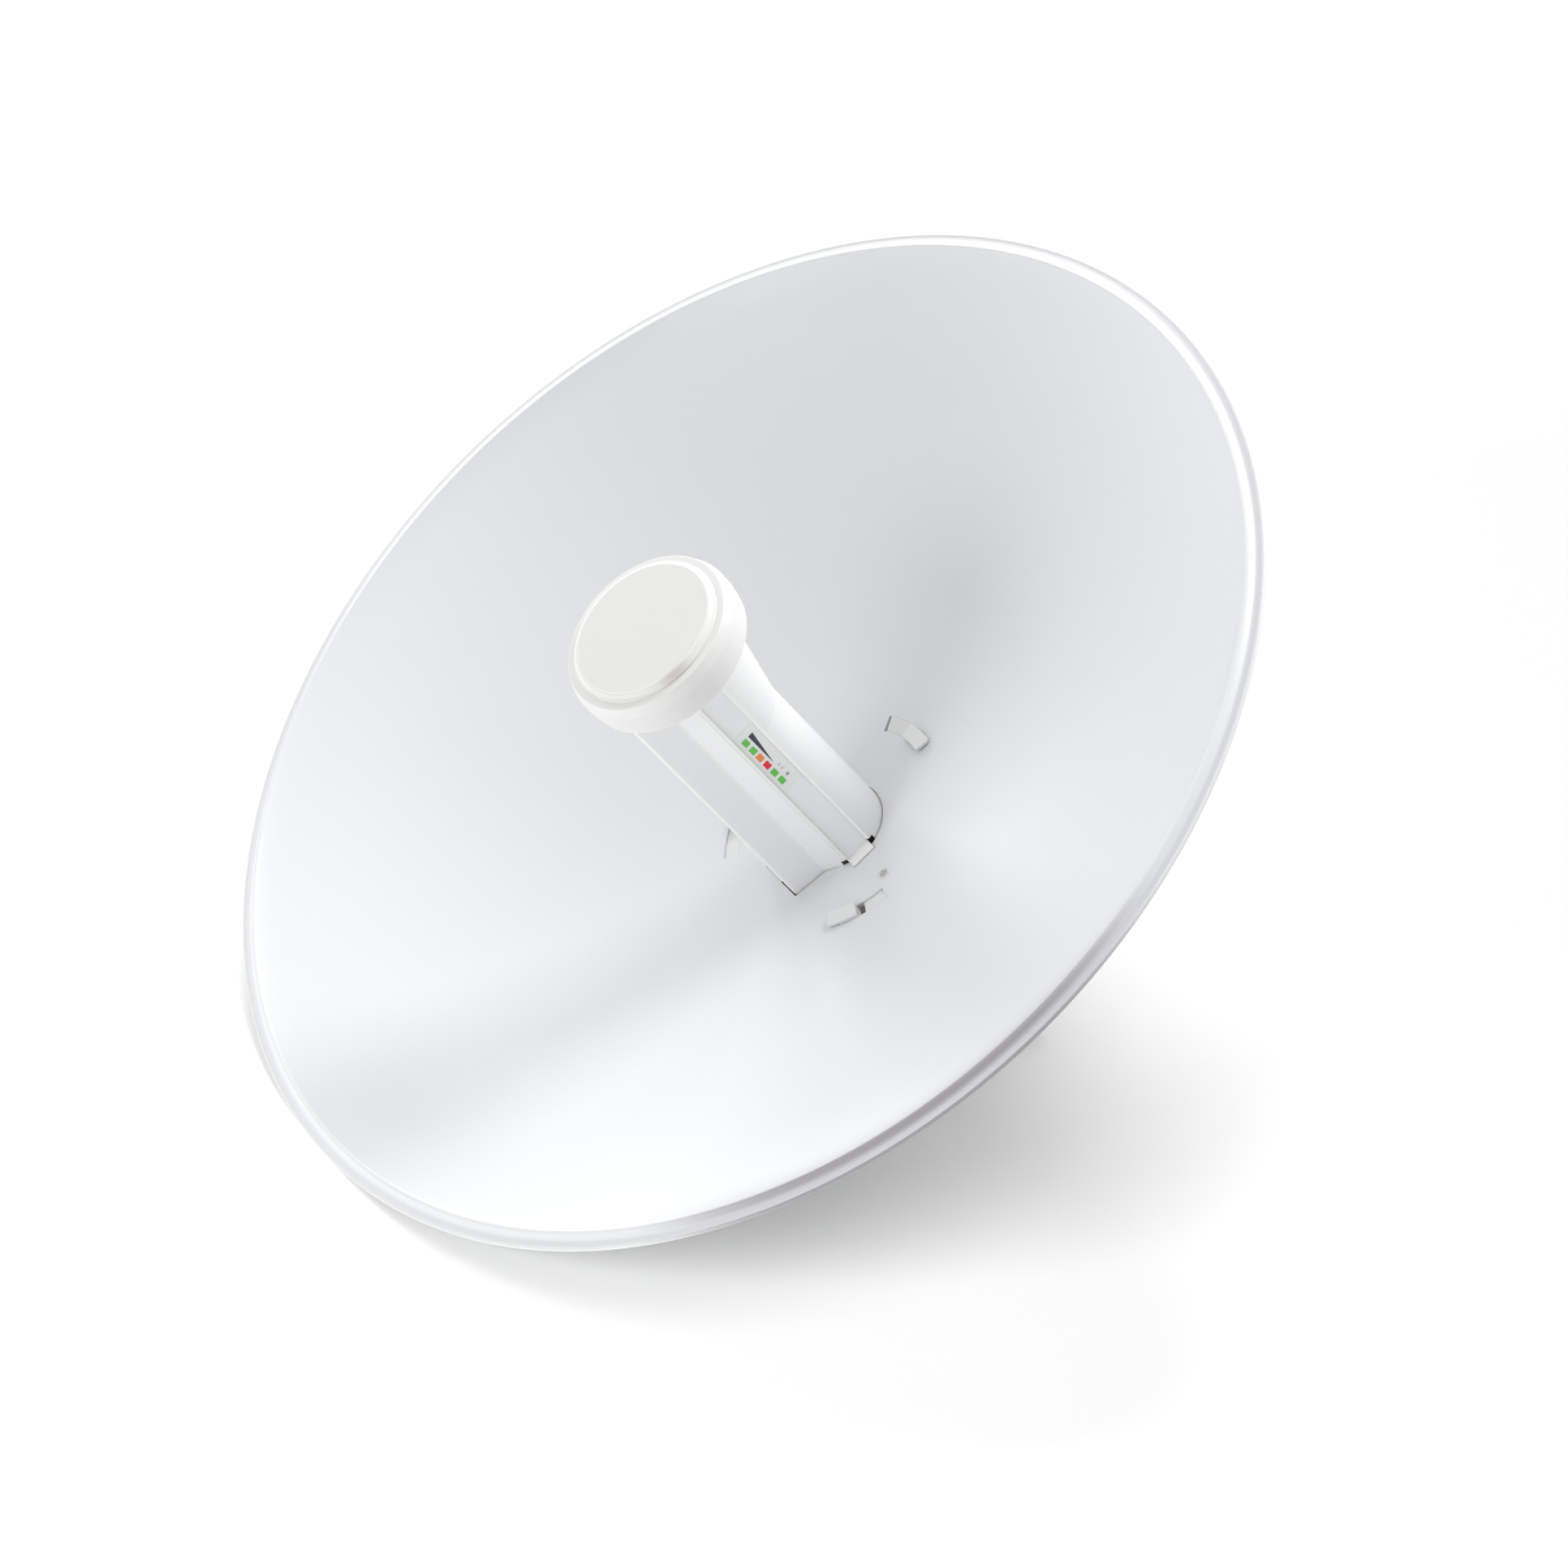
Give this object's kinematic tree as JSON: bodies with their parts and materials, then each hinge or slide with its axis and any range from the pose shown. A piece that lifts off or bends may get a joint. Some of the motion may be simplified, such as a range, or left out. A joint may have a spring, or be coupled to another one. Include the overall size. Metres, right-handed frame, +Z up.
{
  "type": "wireless bridge dish antenna",
  "caption": "Round pressed dish reflector with a beaded rim, a centre feed tube with a round cap and a light strip, a rear housing, and a tilting clamp for a mast.",
  "frame": {"origin": "centre of the bounding box's bottom face, on the floor that the rim and the rear clamp jaw rest on", "axes": "+X across the dish, towards the side with the light strip; +Z up; the dish looks up and towards -Y, leaning back 51 degrees from upright, as pictured"},
  "size_m": [0.42, 0.3252, 0.2665],
  "materials": {
    "dish_paint": "satin white powder coat",
    "feed_plastic": "satin moulded",
    "cap_plastic": "satin moulded, slightly warm",
    "label_film": "satin printed film",
    "housing_plastic": "fine moulded texture",
    "gland_rubber": "matt",
    "cover_plastic": "fine moulded texture",
    "zinc_steel": "zinc plated",
    "zinc_bolt": "zinc plated"
  },
  "bodies": {
    "root": {"dish_reflector": "dish_paint", "feed_shell": "feed_plastic", "feed_keel": "feed_plastic", "led_strip": "label_film", "plain_strip": "feed_plastic", "cap_skirt": "feed_plastic", "cap_face": "cap_plastic", "rear_housing": "housing_plastic", "cable_gland": "gland_rubber", "port_cover": "cover_plastic", "tilt_yoke": "zinc_steel", "pivot_bolt": "zinc_bolt", "pivot_nut": "zinc_bolt", "pivot_washer_left": "zinc_bolt", "pivot_washer_right": "zinc_bolt", "lock_bolt": "zinc_bolt", "lock_nut": "zinc_bolt", "lock_washer_left": "zinc_bolt", "lock_washer_right": "zinc_bolt", "clamp_front_jaw": "zinc_steel", "clamp_rear_jaw": "zinc_steel", "carriage_bolt_left": "zinc_bolt", "carriage_bolt_right": "zinc_bolt", "flange_nut_left": "zinc_bolt", "flange_nut_right": "zinc_bolt"}
  },
  "joints": []
}
